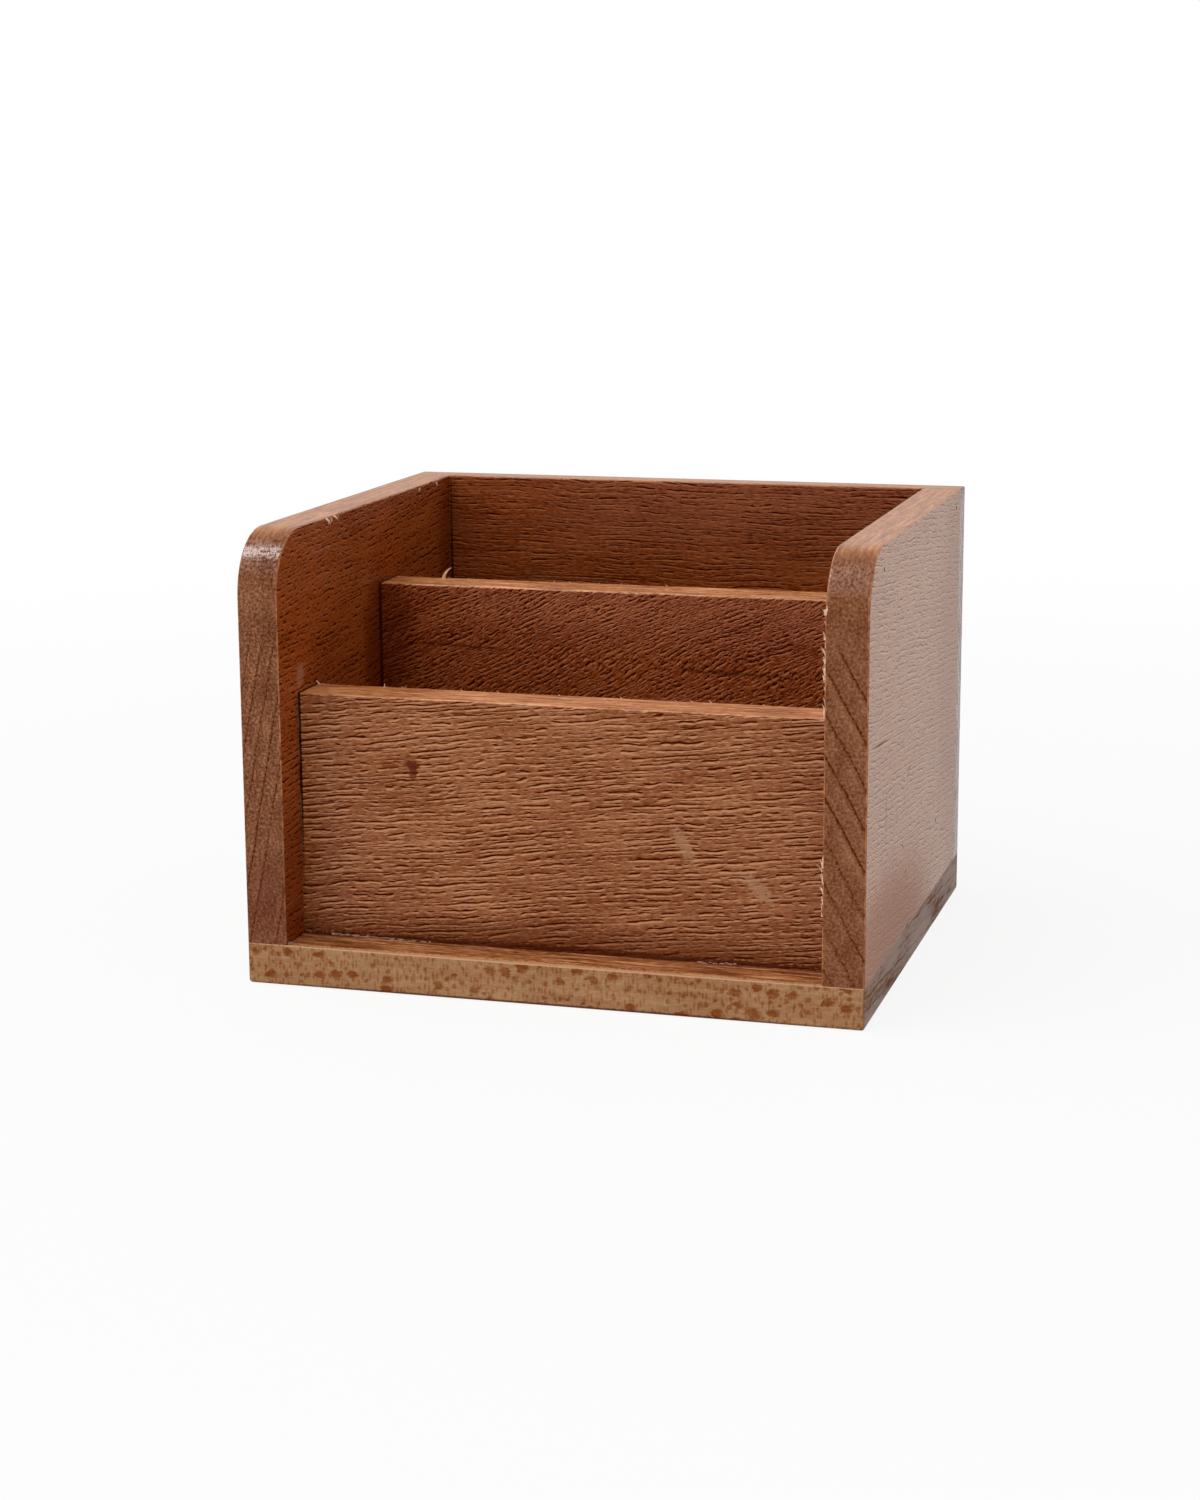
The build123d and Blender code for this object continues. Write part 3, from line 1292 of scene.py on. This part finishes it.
@dataclass(frozen=True)
class Sliver:
    """A thin torn sliver of wood, tapered and curled. Sizes are in millimetres.

    Attributes:
        foot: Where it grows from.
        tilt: Degrees that it rises above level, heading to the right.
        length: Its length.
        width: Its width at the foot.
        thickness: Its thickness there.
        turn: Degrees that its heading is turned from right, anticlockwise from above.
        curl: Degrees that it bends over its length, not 0.
    """

    # Cuts along its length, so that it can bend, and how much of its width and thickness is gone at the tip
    CUTS = 7
    TAPER = 0.85

    foot: Point
    tilt: float
    length: float
    width: float = 0.35
    thickness: float = 0.14
    turn: float = 0.0
    curl: float = 30.0

    def add(self, bm: bmesh.types.BMesh) -> None:
        """Add the sliver to a mesh.

        Args:
            bm: The mesh that it joins.
        """
        own = bmesh.new()
        bmesh.ops.create_cube(own, size=1.0)
        long = [edge for edge in own.edges if abs(edge.verts[0].co.x - edge.verts[1].co.x) > 0.5]
        bmesh.ops.subdivide_edges(own, edges=long, cuts=self.CUTS)
        for vert in own.verts:
            vert.co = self.bent(vert.co)
        place = Matrix.Translation(Vector(self.foot))
        for degrees, axis in ((self.turn, "Z"), (-self.tilt, "Y")):
            place = place @ Matrix.Rotation(math.radians(degrees), 4, axis)
        bmesh.ops.transform(own, matrix=Matrix.Scale(MM, 4) @ place, verts=own.verts)
        mesh = bpy.data.meshes.new("sliver")
        own.to_mesh(mesh)
        own.free()
        bm.from_mesh(mesh)
        bpy.data.meshes.remove(mesh)

    def bent(self, spot: Vector) -> Vector:
        """Where a point of the unit cube goes on the bent, tapered sliver, before it is turned.

        Args:
            spot: The point, with x from -0.5 at the foot to 0.5 at the tip.

        Returns:
            The point in millimetres from the foot.
        """
        share = spot.x + 0.5
        bend = math.radians(self.curl)
        radius = self.length / bend
        angle = share * bend
        taper = 1 - self.TAPER * share
        out = spot.z * self.thickness * taper
        centre = Vector((radius * math.sin(angle), 0.0, radius * (1 - math.cos(angle))))
        return centre + Vector((-math.sin(angle) * out, spot.y * self.width * taper, math.cos(angle) * out))


@dataclass
class TornWood:
    """Slivers that the saw and the sander left on the arrises.

    Attributes:
        finish: What they look like.
        seed: Seed of the scattered ones.
    """

    finish: Cloudy = Cloudy("torn_beech", tone(206, 152, 116), tone(248, 222, 196), 0.6)
    seed: int = 7

    def build(self) -> None:
        """Build each group of slivers as a piece of its own."""
        pick = random.Random(self.seed)
        material = self.finish.material()
        groups = {
            "torn_divider_top": ("panel_beech", self.divider_top(pick)),
            "torn_front_panel_top": ("panel_beech", self.panel_top(pick)),
            "torn_left_wall_top": ("wall_beech", self.left_wall_top()),
            "torn_right_wall_arris": ("wall_beech", self.right_wall_arris(pick)),
        }
        for name, (slot, slivers) in groups.items():
            bm = bmesh.new()
            for sliver in slivers:
                sliver.add(bm)
            add_piece(name, bm, material)

    @staticmethod
    def nibs(pick: random.Random, low: Vector, high: Vector, count: int) -> list[Sliver]:
        """Tiny nibs along the rear top arris of a cross board.

        Args:
            pick: Where the random numbers come from.
            low: The board's lowest corner.
            high: Its highest corner.
            count: How many nibs there are.

        Returns:
            The nibs.
        """
        return [
            Sliver(
                (pick.uniform(low.x + 1.0, high.x - 1.0), high.y - 0.2, high.z - 0.15),
                tilt=pick.uniform(10.0, 40.0),
                length=pick.uniform(0.5, 1.0),
                width=pick.uniform(0.2, 0.35),
                turn=pick.choice((0.0, 180.0)),
            )
            for _ in range(count)
        ]

    def divider_top(self, pick: random.Random) -> list[Sliver]:
        """The curled shaving on the divider, and nibs along its rear arris.

        Args:
            pick: Where the random numbers come from.

        Returns:
            The slivers.
        """
        low, high = box_mm("middle_divider")
        foot = (low.x + 10.8, high.y - 0.6, high.z - 0.2)
        curl = Sliver(foot, tilt=84.0, length=3.1, width=0.6, thickness=0.75, curl=-60.0)
        return [curl] + self.nibs(pick, low, high, 9)

    def panel_top(self, pick: random.Random) -> list[Sliver]:
        """Splinters at the front panel's left end, and nibs along its rear arris.

        Args:
            pick: Where the random numbers come from.

        Returns:
            The slivers.
        """
        low, high = box_mm("front_panel")
        y, z = high.y - 0.5, high.z - 0.2
        ends = [
            Sliver((low.x + 0.8, y, z), tilt=125.0, length=1.5, width=0.5, thickness=0.25, curl=20.0),
            Sliver((low.x + 2.4, y, z), tilt=160.0, length=1.9, width=0.4, thickness=0.2),
            Sliver((low.x + 14.0, y + 0.1, z), tilt=70.0, length=0.9, width=0.5, thickness=0.25),
        ]
        return ends + self.nibs(pick, low, high, 14)

    @staticmethod
    def left_wall_top() -> list[Sliver]:
        """The chips that curl out of the left wall's inner top arris.

        Returns:
            The slivers.
        """
        low, high = box_mm("left_side")
        shape = {"width": 0.9, "thickness": 0.3, "curl": -50.0}
        # How far each is behind the wall's front and below its top, its tilt and its length
        chips = (
            (26.1, 0.3, -20.0, 1.5),
            (27.2, 0.4, -60.0, 1.5),
            (30.1, 0.25, -10.0, 1.3),
            (79.7, 0.4, -50.0, 1.0),
            (90.5, 0.4, -50.0, 1.2),
        )
        return [
            Sliver((high.x - 0.2, low.y + behind, high.z - below), tilt, length, **shape)
            for behind, below, tilt, length in chips
        ]

    @staticmethod
    def right_wall_arris(pick: random.Random) -> list[Sliver]:
        """The torn fibres down the right wall's inner front arris, in two stretches.

        Args:
            pick: Where the random numbers come from.

        Returns:
            The slivers.
        """
        low = box_mm("right_side")[0]
        # Heights of the lowest and the highest fibre, and how many there are
        stretches = ((56.0, 77.0, 34), (20.0, 31.0, 16))
        heights = [pick.uniform(start, end) for start, end, count in stretches for _ in range(count)]
        return [
            Sliver(
                (pick.uniform(low.x - 0.1, low.x + 0.25), low.y + 0.2, height),
                tilt=pick.uniform(75.0, 115.0),
                length=pick.uniform(0.6, 1.7),
                width=pick.uniform(0.15, 0.3),
                thickness=pick.uniform(0.15, 0.4),
            )
            for height in heights
        ]


@dataclass
class DriedGlue:
    """Crumbs of squeezed-out glue along the joints on the base.

    Attributes:
        finish: What they look like.
        seed: Seed of the scattering.
    """

    finish: Cloudy = Cloudy("dried_glue", tone(140, 92, 66), tone(206, 170, 148), 0.9, gloss=0.7)
    seed: int = 23

    def build(self) -> None:
        """Build the crumbs as one piece."""
        pick = random.Random(self.seed)
        bm = bmesh.new()
        for start, end, count in self.runs():
            for _ in range(count):
                centre = start.lerp(end, pick.random())
                centre.z += pick.uniform(-0.1, 0.25)
                size = Vector((pick.uniform(0.2, 0.9), 0.2, pick.uniform(0.06, 0.16)))
                place = Matrix.Scale(MM, 4) @ Matrix.LocRotScale(centre, None, size)
                bmesh.ops.create_icosphere(bm, subdivisions=1, radius=1.0, matrix=place)
        add_piece("glue_crumbs", bm, self.finish.material())

    @staticmethod
    def runs() -> list[tuple[Vector, Vector, int]]:
        """Where the crumbs lie.

        Returns:
            The two ends of each run of crumbs, in millimetres, and how many crumbs it has.
        """
        panel = box_mm("front_panel")[0]
        wall = Vector((-BAY_EDGE, STAND_FRONT, BASE_TOP))
        return [
            (panel + Vector((6.0, -0.1, 0.25)), panel + Vector((15.0, -0.1, 0.1)), 34),
            (panel + Vector((15.0, -0.1, 0.05)), panel + Vector((26.0, -0.1, 0.0)), 18),
            (panel + Vector((79.0, -0.1, 0.1)), panel + Vector((86.0, -0.1, 0.1)), 16),
            (wall + Vector((0.2, 0.4, 0.1)), wall + Vector((0.2, 2.1, 0.1)), 7),
        ]


def add_object(name: str, data: bpy.types.ID) -> bpy.types.Object:
    """Put a new object into the scene.

    Args:
        name: Its name.
        data: Its mesh, lamp or camera.

    Returns:
        The object.
    """
    made = bpy.data.objects.new(name, data)
    bpy.context.scene.collection.objects.link(made)
    return made


def add_piece(name: str, bm: bmesh.types.BMesh, material: bpy.types.Material) -> None:
    """Turn a mesh into a piece of the stand.

    Args:
        name: The piece's name.
        bm: Its mesh, which is used up.
        material: What it is made of.
    """
    bmesh.ops.recalc_face_normals(bm, faces=bm.faces)
    mesh = bpy.data.meshes.new(name)
    bm.to_mesh(mesh)
    bm.free()
    mesh.materials.append(material)
    piece = add_object(name, mesh)
    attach(piece, "root")
    LOG.info("built %s with %d faces", name, len(mesh.polygons))


def dress_node(node: str, material: bpy.types.Material) -> None:
    """Give a CAD node a material of its own.

    Args:
        node: The node's name.
        material: What it is made of.
    """
    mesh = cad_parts[node].data
    mesh.materials.clear()
    mesh.materials.append(material)
    LOG.info("dressed %s in %s", node, material.name)


@dataclass(frozen=True)
class Lamp:
    """A rectangular soft lamp that looks at the stand.

    Attributes:
        name: Its name.
        place: Where it hangs, in metres.
        sides: Its length along X, and its other side, in metres.
        level: Its light on a face that looks straight at it, where the sky's would be 1.
        glossy_only: Whether it shows in what the lacquer mirrors and nowhere else.
    """

    name: str
    place: Point
    sides: Pair
    level: float
    glossy_only: bool = False

    def build(self) -> None:
        """Hang the lamp."""
        light = bpy.data.lights.new(self.name, "AREA")
        light.shape = "RECTANGLE"
        light.size, light.size_y = self.sides
        place = Vector(self.place)
        back = place.normalized()
        first = (Vector((1, 0, 0)) - back * back.x).normalized()
        light.energy = self.level * math.pi**2 * place.length_squared
        lamp = add_object(self.name, light)
        turned = Matrix((first, back.cross(first), back)).transposed().to_4x4()
        lamp.matrix_world = Matrix.Translation(place) @ turned
        lamp.visible_diffuse = not self.glossy_only


@dataclass
class Studio:
    """A pale floor, an even sky, a broad lamp overhead and a narrower one that is only mirrored.

    Attributes:
        floor_size: The floor's side, in metres.
        floor_drop: How far the floor lies under the stand, in metres.
        floor_grey: The floor's own colour.
        floor_white: How much of pure white the camera sees in the floor near the stand.
        fade: Distances from the stand at which the floor starts to turn white and has done so, in metres.
        sky_level: The sky's light on the object, where 1 would be white.
        lamp: The broad soft lamp overhead.
        glint: The lamp that makes the pale band on the left wall's round.
    """

    floor_size: float = 8.0
    floor_drop: float = 0.05 * MM
    floor_grey: Colour = (0.85, 0.85, 0.85, 1.0)
    floor_white: float = 0.88
    fade: Pair = (0.15, 0.6)
    sky_level: float = 0.55
    lamp: Lamp = Lamp("overhead_lamp", (-0.52, -0.48, 1.15), (1.5, 1.5), level=0.6)
    glint: Lamp = Lamp("overhead_glint", (-0.72, -0.28, 1.12), (0.85, 0.42), level=0.95, glossy_only=True)

    def build(self) -> None:
        """Make the sky, the floor and the lamps."""
        self.sky()
        self.floor()
        self.lamp.build()
        self.glint.build()
        bpy.context.scene.view_settings.view_transform = "Standard"

    @staticmethod
    def seen(graph: Graph) -> Value:
        """1 for what the camera sees, directly or mirrored in a surface.

        Args:
            graph: The graph that asks.

        Returns:
            0 or 1.
        """
        path = graph.node("ShaderNodeLightPath")
        kinds = ("Camera", "Glossy", "Transmission")
        camera, glossy, through = [Value(graph, path.outputs[f"Is {kind} Ray"]) for kind in kinds]
        return camera.most(glossy).most(through)

    def sky(self) -> None:
        """Light the stand evenly from all round, with a white background."""
        world = bpy.data.worlds.new("studio_sky")
        bpy.context.scene.world = world
        world.use_nodes = True
        graph = Graph(world.node_tree)
        strength = self.sky_level + self.seen(graph) * (1 - self.sky_level)
        light = graph.node("ShaderNodeBackground", {}, {"Color": WHITE, "Strength": strength})
        graph.show(light, "ShaderNodeOutputWorld")

    def floor(self) -> None:
        """Lay a floor that reads as white and keeps the stand's shadow."""
        bm = bmesh.new()
        bmesh.ops.create_grid(bm, x_segments=1, y_segments=1, size=self.floor_size / 2)
        bmesh.ops.translate(bm, verts=bm.verts, vec=(0, 0, -self.floor_drop))
        mesh = bpy.data.meshes.new("studio_floor")
        bm.to_mesh(mesh)
        bm.free()
        material, graph = new_material("studio_floor")
        matt = graph.node("ShaderNodeBsdfDiffuse", {}, {"Color": self.floor_grey})
        white = graph.node("ShaderNodeEmission", {}, {"Color": WHITE, "Strength": 1.0})
        x, y, _ = graph.reading("Object")
        away = (x * x + y * y) ** 0.5
        share = self.seen(graph) * (self.floor_white + away.rise(*self.fade) * (1 - self.floor_white))
        inputs = {0: share, 1: matt.outputs[0], 2: white.outputs[0]}
        graph.show(graph.node("ShaderNodeMixShader", {}, inputs))
        mesh.materials.append(material)
        add_object("studio_floor", mesh)


@dataclass
class Viewpoint:
    """The camera, where the photograph was taken from.

    Attributes:
        target: The point that it looks at, in metres.
        distance: How far it stands from that point, in metres.
        azimuth: Degrees to the right of straight ahead.
        elevation: Degrees above the horizon.
        roll: Degrees about its own line of sight.
        focal_pixels: The focal length, in pixels of the 1200 by 1500 picture.
        sensor: The sensor's long side, in millimetres.
        nearest: The nearest that it sees, in metres.
    """

    target: Point = (-0.00393, -0.0025, 0.03845)
    distance: float = 0.57301
    azimuth: float = 16.163
    elevation: float = 12.014
    roll: float = -0.339
    focal_pixels: float = 2854.4
    sensor: float = 36.0
    nearest: float = 0.01

    def build(self) -> None:
        """Make the camera and make it the scene's own."""
        data = bpy.data.cameras.new("photo_camera")
        data.sensor_width = self.sensor
        data.lens = self.focal_pixels * self.sensor / max(PHOTO_WIDTH, PHOTO_HEIGHT)
        data.clip_start = self.nearest
        turn = (
            Matrix.Rotation(math.radians(self.azimuth), 4, "Z")
            @ Matrix.Rotation(math.radians(90 - self.elevation), 4, "X")
            @ Matrix.Rotation(math.radians(self.roll), 4, "Z")
        )
        camera = add_object("photo_camera", data)
        back = turn @ Vector((0, 0, self.distance))
        camera.matrix_world = Matrix.Translation(Vector(self.target) + back) @ turn
        bpy.context.scene.camera = camera


def main() -> None:
    """Build the studio and dress the stand."""
    logging.basicConfig(level=logging.INFO, format="%(name)s: %(message)s")
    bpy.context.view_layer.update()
    Viewpoint().build()
    Studio().build()
    for part in (BaseBoard(), SideWalls(), CrossBoards(), DowelPins()):
        part.dress()
    for part in (TornWood(), DriedGlue()):
        part.build()


if __name__ == "__main__":
    main()
